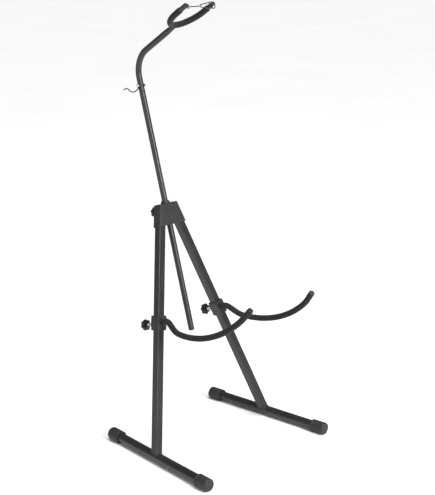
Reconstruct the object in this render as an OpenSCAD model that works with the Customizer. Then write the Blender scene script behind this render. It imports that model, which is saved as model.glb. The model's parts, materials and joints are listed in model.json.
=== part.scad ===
// Folding floor stand for a cello, with a padded neck yoke, two padded arms and a bow hook.
// Two legs open sideways from a hinge housing, and each is welded to a base tube on the floor.
// Millimetres, +Z up. The cello rests against the front, which faces -Y, and left is -X.
// The origin is on the floor, under the middle of the stand's outer box.

/* [Stance] */
// Backward lean of the legs and the mast, in degrees
lean = 16.2; // [12:0.1:20]
// Angle of each open leg away from the mast, in degrees
splay = 16.8; // [14:0.1:19]
// Distance from the stand's middle plane to each leg's pivot
pivot_x = 30.2; // [29.5:0.1:33]
// Distance from the base tube's axis up the leg to its pivot
leg_len = 749; // [700:1:800]

/* [Legs and bases] */
// Width of the square leg tube
leg_w = 25; // [22:0.5:25.5]
// Wall of the leg tube
leg_wall = 1.5; // [1:0.1:2]
// Outer corner radius of the leg tube
leg_corner = 2.5; // [2:0.1:4]
// Length of a base with its two end caps
base_len = 476; // [420:1:520]
// Diameter of the base tube
base_d = 30; // [28:1:32]
// How far the middle of the base lies in front of its leg
base_ahead = 9; // [0:1:30]
// Diameter of a rubber end cap
cap_d = 40; // [36:1:42]
// Length of a rubber end cap
cap_len = 50; // [40:1:60]
// Height of the flat that the cap stands on, cut from its round underside
cap_flat = 1; // [0.5:0.1:2]

/* [Hinge housing] */
// Height of the housing above the pivots
housing_top = 31.5; // [28:0.5:36]
// Height of the housing below the pivots
housing_drop = 37; // [30:1:45]
// Side wall of the housing
side_wall = 2.2; // [1.8:0.1:3]
// Distance from the leg plane to the front cover's rim
front_depth = 15.5; // [15:0.1:17]
// Height of the raised panel on the front cover
panel_rise = 1.5; // [0.5:0.1:2]
// Distance from the leg plane to the rear shell's back
rear_depth = 15; // [15:0.1:18]
// Diameter of a pivot bolt
pivot_d = 8; // [6:0.5:8]

/* [Mast and yoke] */
// Diameter of the mast tube
mast_d = 19; // [18:0.5:20]
// Wall of the mast tube
mast_wall = 1.2; // [1:0.1:1.5]
// Height of the mast's lower end above the base axis, along the mast
mast_low = 340; // [320:1:400]
// Height at which the mast starts to bend forwards
bend_start = 1149; // [1100:1:1200]
// Centre-line radius of the mast's bend
bend_r = 80; // [60:1:90]
// Rise of the neck and the yoke above the level, in degrees
neck_rise = 32.5; // [25:0.5:40]
// Length of the straight neck after the bend
neck_len = 155; // [140:1:170]
// Diameter of the neck's swaged tip
neck_tip_d = 13; // [11:0.5:15]
// Diameter of the yoke rod and of the arm rods
rod_d = 8; // [7:0.5:9]
// Outer diameter of the foam sleeves
foam_d = 19; // [18:0.5:21]
// Reach of the yoke's foam from the neck's end
yoke_reach = 95; // [85:1:105]

/* [Arms and clamps] */
// Height of the left clamp above the base axis, along the leg
left_clamp_at = 409; // [380:1:430]
// Height of the right clamp above the base axis, along the leg
right_clamp_at = 397; // [380:1:430]
// Length of a clamp sleeve along the leg
sleeve_len = 46; // [42:1:50]
// Depth of a clamp sleeve, front to back
sleeve_d = 35; // [34:0.5:37]
// Outward turn of each arm, in degrees
arm_yaw = 1.5; // [0:0.5:3]

/* [Knobs] */
// Diameter over the lobes of a star knob
knob_d = 35.6; // [32:0.2:38]
// Number of lobes of a star knob
knob_lobes = 7; // [5:1:8]
// Diameter of the clamping screws
screw_d = 8; // [6:0.5:8]

/* [Latch and bow hook] */
// Wire diameter of the yoke's latch
latch_wire_d = 3; // [2.5:0.1:3.5]
// Wire diameter of the bow hook
hook_wire_d = 3.5; // [3:0.1:4]
// Height of the bow hook's screw above the base axis, along the mast
hook_at = 1125; // [1100:1:1135]

/* [Hidden] */
$fn = 64;

// How far neighbours in a swept bar lap, and how much the grown ones stand proud
lap = 0.3;
grown = 0.12;
// A bend is grown where a straight follows it, and otherwise where the next bend isn't
function is_fat(steps, k) =
    k + 1 >= len(steps) || steps[k + 1][0] > 0 ? true : !is_fat(steps, k + 1);

// Clearances: a running fit between a shaft and its bore, and open air between other pieces
running = 0.05;
air = 0.3;
// Air between an arm's foam and its sleeve, whose face stands askew to it by arm_yaw
foam_gap = 0.5;

// Stance, worked out so that both bases lie level with their legs open
base_z = cap_d / 2 - cap_flat;
pivot_z = leg_len * cos(splay);
base_tilt = atan2(sin(lean), cos(splay) * cos(lean));
base_roll = atan2(sin(splay) * cos(lean),
                  sin(base_tilt) * sin(lean) + cos(base_tilt) * cos(splay) * cos(lean));
cap_end = 8;

// Bend of the mast from its own line to the neck's, and the neck's end in the leaning frame
bend_angle = 90 - neck_rise + lean;
neck_y = -(bend_r * (1 - cos(bend_angle)) + neck_len * sin(bend_angle));
neck_z = bend_start + bend_r * sin(bend_angle) + neck_len * cos(bend_angle);
taper_len = 45;

// The yoke's centre line on one side: straight length, bend radius, bend angle
yoke_turn = 40;
yoke_inner_r = 44;
yoke_outer_r = 80;
yoke_half = yoke_inner_r * sin(yoke_turn) + yoke_outer_r * (1 - sin(yoke_turn));
yoke_arcs = yoke_inner_r * (1 - cos(yoke_turn)) + yoke_outer_r * cos(yoke_turn);
function yoke_steps(reach) =
    [[0, yoke_inner_r, yoke_turn], [0, yoke_outer_r, 90 - yoke_turn], [reach - yoke_arcs, 0, 0]];

// The stubs on the yoke's tips, the latch's pivot and the plane that its loop lies in
stub_r = 7.5;
stub_len = 30;
latch_at = yoke_reach + 20;
latch_x = 13;
latch_drop = 2;
latch_eye_r = 4;
lug_t = 3;
loop_near_r = 4.5;
loop_far_r = 10.5;
loop_near_x = 12;
loop_slope = asin((loop_far_r - loop_near_r) / (yoke_half - loop_near_x));
loop_side = (yoke_half - loop_near_x) * cos(loop_slope);

// The arm's centre line in the plane across its leg: straight length, bend radius, bend angle
arm_rise = 4;
arm_last = 27.5;
plug_t = 2.5;
function arm_steps(first, last) =
    [[first, 33, -44], [22, 77, 27], [0, 345, 44], [0, 190, 11], [last, 0, 0]];

// The bow hook's centre line, from its eye outwards, and the screw that carries it
hook_eye_r = 4;
hook_steps = [[0, 6.5, 70], [9, 30, 62], [10, 11, -56], [4, 8, 22], [3, 0, 0]];
hook_screw_r = 2;
hook_x = -(mast_d / 2 + air + 1 + hook_wire_d / 2);

// Housing details, in the leaning frame and measured from the pivots
web_w = 30;
bushing_r = 12;
top_wall = 3;
leg_gap = 0.4;
post_x = 24;
post_z = 23;
lock_z = 7.5;
boss_r = 9.5;
nut_r = 7.5;
nut_t = 6.5;

// Where the knobs sit behind the leg plane
mast_hub_at = 43;
clamp_hub_at = 50;
hub_len = 7;
lobe_len = 10;
clamp_screw_drop = 4;
sleeve_w = 33;
cheek = 1;
sleeve_bore = leg_w + 2 * air;

LEFT = -1;
RIGHT = 1;

// ---- Turning a point, for the places that depend on the stance ----

function turn_x(a, p) = [p.x, p.y * cos(a) - p.z * sin(a), p.y * sin(a) + p.z * cos(a)];
function turn_y(a, p) = [p.x * cos(a) + p.z * sin(a), p.y, -p.x * sin(a) + p.z * cos(a)];
function turn_z(a, p) = [p.x * cos(a) - p.y * sin(a), p.x * sin(a) + p.y * cos(a), p.z];

// Where a path of straights and bends ends: [across, along, heading]
function path_end(steps, k = 0, p = [0, 0, 0]) =
    k == len(steps) ? p :
    let (s = steps[k], h = p[2], g = h + s[2], side = sign(s[2]), r = s[1])
    path_end(steps, k + 1, [
        p[0] + s[0] * sin(h) + side * r * (cos(h) - cos(g)),
        p[1] + s[0] * cos(h) + side * r * (sin(g) - sin(h)),
        g
    ]);

// A direction or a point of a leg's own frame, in the stand's frame before it is centred
function leg_dir(side, d) = turn_x(-lean, turn_y(-side * splay, d));
function leg_point(side, p) =
    turn_x(-lean, turn_y(-side * splay, p - [0, 0, leg_len]) + [side * pivot_x, 0, pivot_z]);

// The front of the outer box is the lower arm's tip, and its back is the bow hook's end
tip = path_end(arm_steps(13, arm_last + plug_t));
tip_at = leg_point(RIGHT, turn_z(arm_yaw, [0, -sleeve_d / 2 - tip[1], tip[0]])
                          + [0, 0, right_clamp_at + arm_rise]);
tip_dir = leg_dir(RIGHT, turn_z(arm_yaw, [0, -cos(tip[2]), sin(tip[2])]));
plug_r = foam_d / 2 - 1;
box_front = tip_at.y - plug_r * sqrt(1 - tip_dir.y * tip_dir.y);
hook_tip = path_end(hook_steps);
hook_end = turn_x(-lean, [0, hook_tip[0], hook_at - hook_eye_r - hook_tip[1]]);
hook_dir = turn_x(-lean, [0, sin(hook_tip[2]), -cos(hook_tip[2])]);
box_back = hook_end.y + hook_wire_d / 2 * sqrt(1 - hook_dir.y * hook_dir.y);
centre_y = -(box_front + box_back) / 2;

// ---- Frames ----

// The leaning frame: Z runs up the mast, and Y = 0 is the plane of the legs
module leaning() {
    translate([0, centre_y, base_z]) rotate([-lean, 0, 0]) children();
}

// A leg's frame: Z runs up the leg from the base tube's axis
module on_leg(side) {
    leaning() translate([side * pivot_x, 0, pivot_z]) rotate([0, -side * splay, 0])
        translate([0, 0, -leg_len]) children();
}

// A base's frame: Y runs back along the base tube, and Z is straight up
module on_base(side) {
    on_leg(side) rotate([base_tilt, 0, 0]) rotate([0, side * base_roll, 0]) children();
}

// The housing's frame, on the line between the pivots
module on_housing() {
    leaning() translate([0, 0, pivot_z]) children();
}

// The yoke's frame at the neck's end: -Y runs on along the neck
module on_yoke() {
    leaning() translate([0, neck_y, neck_z]) rotate([bend_angle - 90, 0, 0]) children();
}

// A clamp's frame, at the middle of its sleeve on the leg's axis
module on_clamp(side) {
    on_leg(side) translate([0, 0, side == LEFT ? left_clamp_at : right_clamp_at]) children();
}

// An arm's path starts on the sleeve's front face and heads forwards
module along_arm(side) {
    on_clamp(side) rotate([0, 0, side * arm_yaw]) translate([0, -sleeve_d / 2, arm_rise])
        rotate([90, -90, 0]) children();
}

// ---- Shapes that repeat ----

// Sweeps a 2-D section along straights and bends in one plane. The path heads along Z and
// bends towards X, and each step is [straight length, bend radius, bend angle]. Neighbours lap
// by a hair, and every second one is grown by a hair, so that they join as one clean solid.
module sweep(steps, k = 0) {
    if (k < len(steps)) {
        s = steps[k];
        a = abs(s[2]);
        flip = s[2] < 0 ? 180 : 0;
        start = k > 0 ? lap : 0;
        if (s[0] > 0) translate([0, 0, -start])
            linear_extrude(s[0] + start + (a > 0 ? lap : 0)) let($grow = 0) children();
        translate([0, 0, s[0]]) rotate([0, 0, flip]) {
            if (a > 0) {
                fat = is_fat(steps, k);
                extra = fat ? 0 : lap / s[1] * 180 / PI;
                translate([s[1], 0, 0]) rotate([90, 0, 180]) rotate([0, 0, k > 0 ? -extra : 0])
                    rotate_extrude(angle = a + (k > 0 ? 2 : 1) * extra) translate([s[1], 0])
                        rotate(180 - flip) let($grow = fat ? grown : 0) children();
            }
            translate([s[1] * (1 - cos(a)), 0, s[1] * sin(a)]) rotate([0, a, 0])
                rotate([0, 0, flip]) sweep(steps, k + 1) children();
        }
    }
}

// The two sections that are swept: a round bar and a round tube
module bar_section(r) {
    circle(r + $grow);
}

module tube_section(outer_r, inner_r) {
    difference() {
        circle(outer_r + $grow);
        circle(inner_r + $grow);
    }
}

module rounded_square(w, r) {
    square([w - 2 * r, w], center = true);
    square([w, w - 2 * r], center = true);
    for (x = [-1, 1], y = [-1, 1]) translate([x * (w / 2 - r), y * (w / 2 - r)]) circle(r);
}

// A cylinder along Y from y0 to y1
module bar_y(r, y0, y1) {
    translate([0, y1, 0]) rotate([90, 0, 0]) cylinder(r = r, h = y1 - y0);
}

// A flat outline in X and Z made solid along Y from y0 to y1
module slab_y(y0, y1) {
    translate([0, y1, 0]) rotate([90, 0, 0]) linear_extrude(y1 - y0) children();
}

// A hexagon nut on the Y axis, bored for a screw that turns in it
module hex_nut(corner_r, bore_r, y0, y1) {
    difference() {
        slab_y(y0, y1) circle(corner_r, $fn = 6);
        bar_y(bore_r, y0 - 1, y1 + 1);
    }
}

// ---- Hinge housing ----

// Half width of the housing at height z: its sides run along the open legs
function housing_half(z, wall) =
    pivot_x + (leg_w / 2 + leg_gap + wall) / cos(splay) - z * tan(splay);

module housing_outline(wall, bottom, top, inset = 0) {
    low = housing_half(bottom, wall) - inset;
    high = housing_half(top, wall) - inset;
    polygon([[-low, bottom], [low, bottom], [high, top], [-high, top]]);
}

// The two pockets that the legs swing in, open at the bottom
module leg_pockets() {
    difference() {
        housing_outline(0, -housing_drop - 1, housing_top - top_wall);
        translate([-web_w / 2, -housing_drop - 2])
            square([web_w, housing_drop + housing_top + 2]);
    }
}

module housing_half_shell(y0, y1, pocket0, pocket1) {
    difference() {
        slab_y(y0, y1) housing_outline(side_wall, -housing_drop, housing_top);
        slab_y(pocket0, pocket1) leg_pockets();
        translate([0, 0, -housing_drop - 1])
            cylinder(r = bushing_r + running, h = housing_drop + housing_top + 2);
    }
    for (x = [-post_x, post_x]) translate([x, 0, post_z])
        bar_y(4.5, max(y0, pocket0 - 1), min(y1, pocket1 + 1));
}

module housing_front_cover() {
    inner = leg_w / 2 + air;
    color([0.075, 0.078, 0.085]) on_housing() difference() {
        union() {
            housing_half_shell(-front_depth, 0, -inner, 1);
            slab_y(-front_depth - panel_rise, -front_depth)
                housing_outline(side_wall, 5 - housing_drop, housing_top - 4, 7);
        }
        for (x = [-pivot_x, pivot_x]) translate([x, 0, 0]) bar_y(5.6, -front_depth - 0.5, -inner + 1);
        for (x = [-post_x, post_x]) translate([x, 0, post_z]) bar_y(1.5, -front_depth + 1.5, 1);
    }
}

module housing_rear_shell() {
    inner = leg_w / 2 + air;
    color([0.075, 0.078, 0.085]) on_housing() difference() {
        union() {
            housing_half_shell(0, rear_depth, -1, inner);
            translate([0, 0, lock_z]) bar_y(boss_r, rear_depth, rear_depth + nut_t + 0.5);
        }
        for (x = [-pivot_x, pivot_x]) translate([x, 0, 0]) bar_y(pivot_d / 2, 0, rear_depth + 1);
        for (x = [-post_x, post_x]) translate([x, 0, post_z]) {
            bar_y(1.5, -1, rear_depth + 1);
            bar_y(3, rear_depth - 2, rear_depth + 1);
        }
        translate([0, 0, lock_z]) {
            bar_y(screw_d / 2 + air, bushing_r - 2, rear_depth + 1);
            slab_y(rear_depth, rear_depth + nut_t + 1) circle(nut_r, $fn = 6);
        }
    }
}

module housing_screws() {
    color("silver") on_housing() for (x = [-post_x, post_x]) translate([x, 0, post_z]) {
        bar_y(1.5, -front_depth + 1.5, rear_depth - 2);
        difference() {
            bar_y(3, rear_depth - 2, rear_depth);
            bar_y(1.2, rear_depth - 1, rear_depth + 1);
        }
    }
}

module pivot_inserts() {
    color("gold") on_housing() for (x = [-pivot_x, pivot_x]) translate([x, 0, 0]) difference() {
        bar_y(5.6, -front_depth - 0.5, -leg_w / 2 - air);
        bar_y(pivot_d / 2, -front_depth - 1, 0);
    }
}

module pivot_bolt(side) {
    color("dimgray") on_housing() translate([side * pivot_x, 0, 0]) {
        bar_y(pivot_d / 2, -front_depth - 0.5, rear_depth);
        difference() {
            bar_y(pivot_d, rear_depth, rear_depth + 4);
            slab_y(rear_depth + 2, rear_depth + 5) circle(2.9, $fn = 6);
        }
    }
}

module mast_lock_nut() {
    color("silver") on_housing() translate([0, 0, lock_z])
        hex_nut(nut_r, screw_d / 2 + running, rear_depth, rear_depth + nut_t);
}

// ---- Star knobs and their screws ----

module knob_outline() {
    difference() {
        circle(d = knob_d);
        for (k = [0 : knob_lobes - 1]) rotate((k + 0.5) * 360 / knob_lobes)
            translate([knob_d / 2 + 2.2, 0]) circle(5);
    }
}

// A star knob whose hub starts at y = hub_at, with its cap at the back
module star_knob(hub_at) {
    face = hub_at + hub_len;
    color([0.05, 0.05, 0.055]) difference() {
        union() {
            translate([0, face, 0]) rotate([90, 0, 0]) cylinder(r1 = 9.5, r2 = 8.5, h = hub_len);
            slab_y(face, face + lobe_len) knob_outline();
            translate([0, face + lobe_len, 0]) rotate([-90, 0, 0]) cylinder(r1 = 11, r2 = 9, h = 2);
        }
        bar_y(screw_d / 2, hub_at - 1, face + 3);
    }
}

module clamping_screw(tip_y, hub_at) {
    color("silver") bar_y(screw_d / 2, tip_y, hub_at + hub_len + 3);
}

module mast_lock_screw() {
    on_housing() translate([0, 0, lock_z]) clamping_screw(bushing_r + air, mast_hub_at);
}

module mast_lock_knob() {
    on_housing() translate([0, 0, lock_z]) star_knob(mast_hub_at);
}

// ---- Mast ----

// The bushing that grips the mast, with its collar on top and a slit at the front
module mast_bushing() {
    color([0.09, 0.09, 0.1]) on_housing() difference() {
        union() {
            translate([0, 0, -housing_drop]) cylinder(r = bushing_r, h = housing_drop + housing_top);
            translate([0, 0, housing_top + air]) cylinder(r1 = 15, r2 = 12, h = 8);
            translate([0, 0, housing_top]) cylinder(r = bushing_r, h = 1);
        }
        translate([0, 0, -housing_drop - 1]) cylinder(r = mast_d / 2 + running, h = 100);
        translate([-0.75, -20, -housing_drop - 1]) cube([1.5, 15, 100]);
    }
}

// The mast and its neck as a solid bar, set in from the outside by inset and longer by past
module mast_bar(inset, past) {
    r = mast_d / 2 - inset;
    tip_r = neck_tip_d / 2 - inset;
    leaning() translate([0, 0, mast_low - past]) rotate([0, 0, -90])
        sweep([[bend_start - mast_low + past, bend_r, bend_angle]]) bar_section(r);
    on_yoke() translate([0, neck_len, 0]) rotate([90, 0, 0]) rotate([0, 0, -90]) rotate_extrude()
        polygon([
            [0, -lap], [r, -lap], [r, neck_len - taper_len], [tip_r, neck_len],
            [tip_r, neck_len + past], [0, neck_len + past]
        ]);
}

module mast_tube() {
    color([0.1, 0.1, 0.11]) difference() {
        mast_bar(0, 0);
        mast_bar(mast_wall, 1);
        on_yoke() rotate([0, 90, 0]) rotate([0, 0, 45]) cylinder(d = rod_d, h = 40, center = true);
        leaning() translate([0, 0, hook_at]) rotate([0, 90, 0])
            cylinder(r = hook_screw_r, h = 40, center = true);
    }
}

module mast_end_plug() {
    color("black") leaning() translate([0, 0, mast_low]) {
        translate([0, 0, -2]) cylinder(d = mast_d, h = 2);
        translate([0, 0, -4]) cylinder(r1 = mast_d / 2 - 2, r2 = mast_d / 2, h = 2);
        cylinder(r = mast_d / 2 - mast_wall, h = 12);
    }
}

// ---- Yoke and latch ----

// One side of the yoke, its path heading right from the neck's end
module yoke_side(side, reach) {
    on_yoke() mirror([side == LEFT ? 1 : 0, 0, 0]) rotate([-90, 0, 0]) rotate([0, 90, 0])
        sweep(yoke_steps(reach)) children();
}

module yoke_rod() {
    color([0.1, 0.1, 0.11]) {
        yoke_side(LEFT, yoke_reach + 10) bar_section(rod_d / 2);
        yoke_side(RIGHT, yoke_reach + 10) bar_section(rod_d / 2);
    }
}

module yoke_foam(side) {
    tip_r = neck_tip_d / 2 + air;
    back = 20;
    widening = back / taper_len * (mast_d - neck_tip_d) / 2;
    color([0.04, 0.04, 0.045]) difference() {
        yoke_side(side, yoke_reach) tube_section(foam_d / 2, rod_d / 2 + running);
        on_yoke() translate([0, back, 0]) rotate([90, 0, 0])
            cylinder(r1 = tip_r + widening, r2 = tip_r, h = back);
    }
}

// A point on the yoke's tip on one side, s forwards of the neck's end
module at_tip(side, s) {
    on_yoke() translate([side * yoke_half, -s, 0]) children();
}

// The left stub closes the foam and carries a lug for the latch
module latch_stub() {
    color([0.2, 0.2, 0.21]) difference() {
        union() {
            at_tip(LEFT, yoke_reach) bar_y(stub_r, -stub_len + 3, 0);
            at_tip(LEFT, yoke_reach + stub_len) rotate([-90, 0, 0])
                cylinder(r1 = stub_r - 2, r2 = stub_r, h = 3);
            at_tip(LEFT, latch_at) translate([0, -5, -lug_t / 2 + 3]) cube([latch_x, 10, lug_t]);
            at_tip(LEFT, latch_at) translate([latch_x, 0, -lug_t / 2 + 3]) cylinder(r = 5, h = lug_t);
        }
        at_tip(LEFT, yoke_reach) bar_y(rod_d / 2, -10, 1);
        at_tip(LEFT, latch_at) translate([latch_x, 0, -5]) cylinder(r = 2, h = 20);
    }
}

// The right stub has a neck behind its head, which the latch's loop drops over
module catch_stub() {
    color([0.2, 0.2, 0.21]) difference() {
        union() {
            at_tip(RIGHT, yoke_reach) bar_y(stub_r, -latch_at + yoke_reach + 3.5, 0);
            at_tip(RIGHT, latch_at - 3.5) bar_y(5.5, -7.5, 0);
            at_tip(RIGHT, latch_at + 3.5) rotate([90, 0, 0]) cylinder(r1 = 5.5, r2 = 6.5, h = 1);
            at_tip(RIGHT, latch_at + 4.5) rotate([90, 0, 0]) cylinder(r = 6.5, h = 3);
            at_tip(RIGHT, latch_at + 7.5) rotate([90, 0, 0]) cylinder(r1 = 6.5, r2 = 4, h = 2.5);
        }
        at_tip(RIGHT, yoke_reach) bar_y(rod_d / 2, -10, 1);
    }
}

// The latch's plane, with the origin on its pivot
module at_latch() {
    at_tip(LEFT, latch_at) translate([latch_x, 0, -latch_drop]) children();
}

module latch_screw() {
    color("silver") at_latch() {
        translate([0, 0, -4]) cylinder(r = 2, h = 8 + lug_t);
        translate([0, 0, -6]) cylinder(r = 3.8, h = 2);
        translate([0, 0, 2 * latch_drop + lug_t - 0.5]) cylinder(r = 3.5, h = 2.4, $fn = 6);
    }
}

// A bent wire: an eye round the latch's screw, a stem, and a pear-shaped closed loop
module latch_wire() {
    r = latch_wire_d / 2;
    near_x = yoke_half - latch_x + loop_near_x;
    far_x = 2 * yoke_half - latch_x;
    half_side = loop_side / 2 - 2;
    color("silver") at_latch() {
        rotate_extrude() translate([latch_eye_r, 0]) circle(r);
        translate([latch_eye_r, 0, 0]) rotate([0, 90, 0])
            cylinder(r = r, h = near_x - loop_near_r - latch_eye_r);
        translate([(near_x + far_x) / 2 - (loop_near_r + loop_far_r) / 2 * sin(loop_slope), 0,
                   (loop_near_r + loop_far_r) / 2 * cos(loop_slope)])
            rotate([0, 90 - loop_slope, 0]) {
                translate([0, 0, 2])
                    sweep([[half_side, loop_far_r, 180 + 2 * loop_slope],
                           [loop_side, loop_near_r, 180 - 2 * loop_slope],
                           [half_side, 0, 0]]) bar_section(r);
                translate([0, 0, -2 - lap]) cylinder(r = r + grown, h = 4 + 2 * lap);
            }
    }
}

// ---- Bow hook ----

// The bow hook's frame, on its screw at the mast's left side
module at_hook() {
    leaning() translate([0, 0, hook_at]) children();
}

module bow_hook_wire() {
    r = hook_wire_d / 2;
    color([0.08, 0.08, 0.085]) at_hook() translate([hook_x, 0, 0]) {
        rotate([0, 90, 0]) rotate_extrude() translate([hook_eye_r, 0]) circle(r);
        translate([0, 0, -hook_eye_r]) rotate([180, 0, 90]) sweep(hook_steps) bar_section(r);
    }
}

module bow_hook_screw() {
    head = hook_x - hook_wire_d / 2;
    color("silver") at_hook() rotate([0, 90, 0]) {
        translate([0, 0, head]) cylinder(r = hook_screw_r, h = -head + mast_d / 2 + 6);
        difference() {
            translate([0, 0, head - 2.4]) cylinder(r1 = 2.8, r2 = 3.8, h = 2.4);
            translate([0, 0, head - 3]) cylinder(r = 1.4, h = 1.6);
        }
    }
}

module bow_hook_washer() {
    color("silver") at_hook() rotate([0, 90, 0]) translate([0, 0, -mast_d / 2 - 1])
        difference() {
            cylinder(r = 5, h = 1);
            translate([0, 0, -1]) cylinder(r = hook_screw_r, h = 3);
            translate([0, 0, mast_d / 2 + 1]) rotate([0, 90, 0])
                cylinder(d = mast_d, h = 40, center = true);
        }
}

module bow_hook_nut() {
    color([0.08, 0.08, 0.085]) at_hook() rotate([0, 90, 0]) difference() {
        union() {
            translate([0, 0, mast_d / 2 - 0.5]) cylinder(r = 4.6, h = 4.5, $fn = 6);
            translate([0, 0, mast_d / 2 + 4]) cylinder(r1 = 4, r2 = 2.4, h = 3.4);
        }
        cylinder(r = hook_screw_r, h = mast_d / 2 + 6);
        rotate([0, 90, 0]) cylinder(d = mast_d, h = 40, center = true);
    }
}

// ---- Legs and bases ----

module leg_tube(side) {
    end = leg_len + leg_w / 2;
    color([0.1, 0.1, 0.11]) difference() {
        on_leg(side) intersection() {
            linear_extrude(end) rounded_square(leg_w, leg_corner);
            union() {
                translate([-leg_w, -leg_w, -1]) cube([2 * leg_w, 2 * leg_w, leg_len + 1]);
                translate([0, 0, leg_len]) bar_y(leg_w / 2, -leg_w, leg_w);
            }
        }
        on_leg(side) translate([0, 0, -1])
            linear_extrude(end + 2) rounded_square(leg_w - 2 * leg_wall, leg_corner - leg_wall);
        on_leg(side) translate([0, 0, leg_len]) bar_y(6, -leg_w, leg_w);
        on_base(side) bar_y(base_d / 2, -50, 50);
    }
}

module pivot_sleeve(side) {
    color("silver") on_leg(side) translate([0, 0, leg_len]) difference() {
        bar_y(6, -leg_w / 2, leg_w / 2);
        bar_y(pivot_d / 2 + running, -leg_w, leg_w);
    }
}

module base_tube(side) {
    front = -base_len / 2 - base_ahead + cap_end;
    back = base_len / 2 - base_ahead - cap_end;
    color([0.1, 0.1, 0.11]) on_base(side) difference() {
        bar_y(base_d / 2, front, back);
        bar_y(base_d / 2 - 1.5, front - 1, back + 1);
    }
}

// A rubber cap pushed over a base tube's end, turned about the tube's axis. Its profile runs
// from the lip, past a groove, to the rounded end, and its underside is cut flat.
module end_cap(side, end) {
    r = cap_d / 2;
    color([0.05, 0.05, 0.05]) on_base(side)
        translate([0, -base_ahead + end * (base_len / 2 - cap_len), 0]) difference() {
            rotate([-90 * end, 0, 0]) rotate_extrude() polygon([
                [base_d / 2, 0], [r - 0.8, 0], [r, 0.8], [r, 6], [r - 1.2, 7.2], [r - 1.2, 9],
                [r - 0.4, 9.8], [r, 12], [r, cap_len - 4], [r - 0.8, cap_len - 1.8],
                [r - 2.6, cap_len - 0.4], [r - 4.5, cap_len], [0, cap_len],
                [0, cap_len - cap_end], [base_d / 2, cap_len - cap_end]
            ]);
            translate([-r, -cap_len - 1, -r - base_z]) cube([2 * r, 2 * cap_len + 2, r]);
        }
}

// ---- Clamps and arms ----

module clamp_sleeve(side) {
    half = sleeve_d / 2;
    color([0.085, 0.087, 0.09]) on_clamp(side) difference() {
        union() {
            translate([-sleeve_w / 2, -half, -sleeve_len / 2]) cube([sleeve_w, sleeve_d, sleeve_len]);
            for (x = [-1, 1]) translate([x * (sleeve_w / 2 + cheek / 2), 0, 0]) rotate([0, 90, 0]) {
                cylinder(r = half, h = cheek, center = true);
                translate([0, -half / 2, 0]) cube([2 * half, half, cheek], center = true);
            }
            translate([0, 0, -clamp_screw_drop]) bar_y(boss_r, half, half + nut_t + 2);
        }
        translate([-sleeve_bore / 2, -sleeve_bore / 2, -sleeve_len])
            cube([sleeve_bore, sleeve_bore, 2 * sleeve_len]);
        translate([0, 0, -clamp_screw_drop]) {
            bar_y(screw_d / 2 + air, 0, half + nut_t + 3);
            bar_y(5.5, 0, half - 1.5);
            slab_y(half + 2, half + nut_t + 3) circle(nut_r, $fn = 6);
        }
        rotate([0, 0, side * arm_yaw]) translate([0, 0, arm_rise]) bar_y(rod_d / 2, -half - 1, -10);
    }
}

module clamp_nut(side) {
    y0 = sleeve_d / 2 + 2;
    color("silver") on_clamp(side) translate([0, 0, -clamp_screw_drop])
        hex_nut(nut_r, screw_d / 2 + running, y0, y0 + nut_t);
}

module clamp_pad(side) {
    color("dimgray") on_clamp(side) translate([0, 0, -clamp_screw_drop])
        bar_y(5.5, leg_w / 2 + air, sleeve_d / 2 - 2);
}

module clamp_screw(side) {
    on_clamp(side) translate([0, 0, -clamp_screw_drop])
        clamping_screw(sleeve_d / 2 - 1.7, clamp_hub_at);
}

module clamp_knob(side) {
    on_clamp(side) translate([0, 0, -clamp_screw_drop]) star_knob(clamp_hub_at);
}

module arm_rod(side) {
    inside = sleeve_d / 2 - leg_w / 2 - air;
    color([0.1, 0.1, 0.11]) along_arm(side) translate([0, 0, -inside])
        sweep(arm_steps(13 + inside, arm_last)) bar_section(rod_d / 2);
}

module arm_foam(side) {
    color([0.04, 0.04, 0.045]) along_arm(side) translate([0, 0, foam_gap])
        sweep(arm_steps(13 - foam_gap, arm_last)) tube_section(foam_d / 2, rod_d / 2 + running);
}

module arm_plug(side) {
    last = path_end(arm_steps(13, arm_last));
    color("black") along_arm(side) translate([last[0], 0, last[1]]) rotate([0, last[2], 0])
        cylinder(r = plug_r, h = plug_t);
}

// ---- The stand ----

housing_front_cover();
housing_rear_shell();
housing_screws();
pivot_inserts();
pivot_bolt(LEFT);  // left_pivot_bolt
pivot_bolt(RIGHT);  // right_pivot_bolt
mast_lock_nut();
mast_lock_screw();
mast_lock_knob();
mast_bushing();
mast_tube();
mast_end_plug();
yoke_rod();
yoke_foam(LEFT);  // yoke_left_foam
yoke_foam(RIGHT);  // yoke_right_foam
latch_stub();
catch_stub();
latch_screw();
latch_wire();
bow_hook_wire();
bow_hook_screw();
bow_hook_washer();
bow_hook_nut();
leg_tube(LEFT);  // left_leg_tube
pivot_sleeve(LEFT);  // left_pivot_sleeve
base_tube(LEFT);  // left_base_tube
end_cap(LEFT, -1);  // left_front_cap
end_cap(LEFT, 1);  // left_rear_cap
leg_tube(RIGHT);  // right_leg_tube
pivot_sleeve(RIGHT);  // right_pivot_sleeve
base_tube(RIGHT);  // right_base_tube
end_cap(RIGHT, -1);  // right_front_cap
end_cap(RIGHT, 1);  // right_rear_cap
clamp_sleeve(LEFT);  // left_clamp_sleeve
clamp_nut(LEFT);  // left_clamp_nut
clamp_pad(LEFT);  // left_clamp_pad
arm_rod(LEFT);  // left_arm_rod
arm_foam(LEFT);  // left_arm_foam
arm_plug(LEFT);  // left_arm_plug
clamp_screw(LEFT);  // left_clamp_screw
clamp_knob(LEFT);  // left_clamp_knob
clamp_sleeve(RIGHT);  // right_clamp_sleeve
clamp_nut(RIGHT);  // right_clamp_nut
clamp_pad(RIGHT);  // right_clamp_pad
arm_rod(RIGHT);  // right_arm_rod
arm_foam(RIGHT);  // right_arm_foam
arm_plug(RIGHT);  // right_arm_plug
clamp_screw(RIGHT);  // right_clamp_screw
clamp_knob(RIGHT);  // right_clamp_knob
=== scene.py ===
import json
import math

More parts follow.
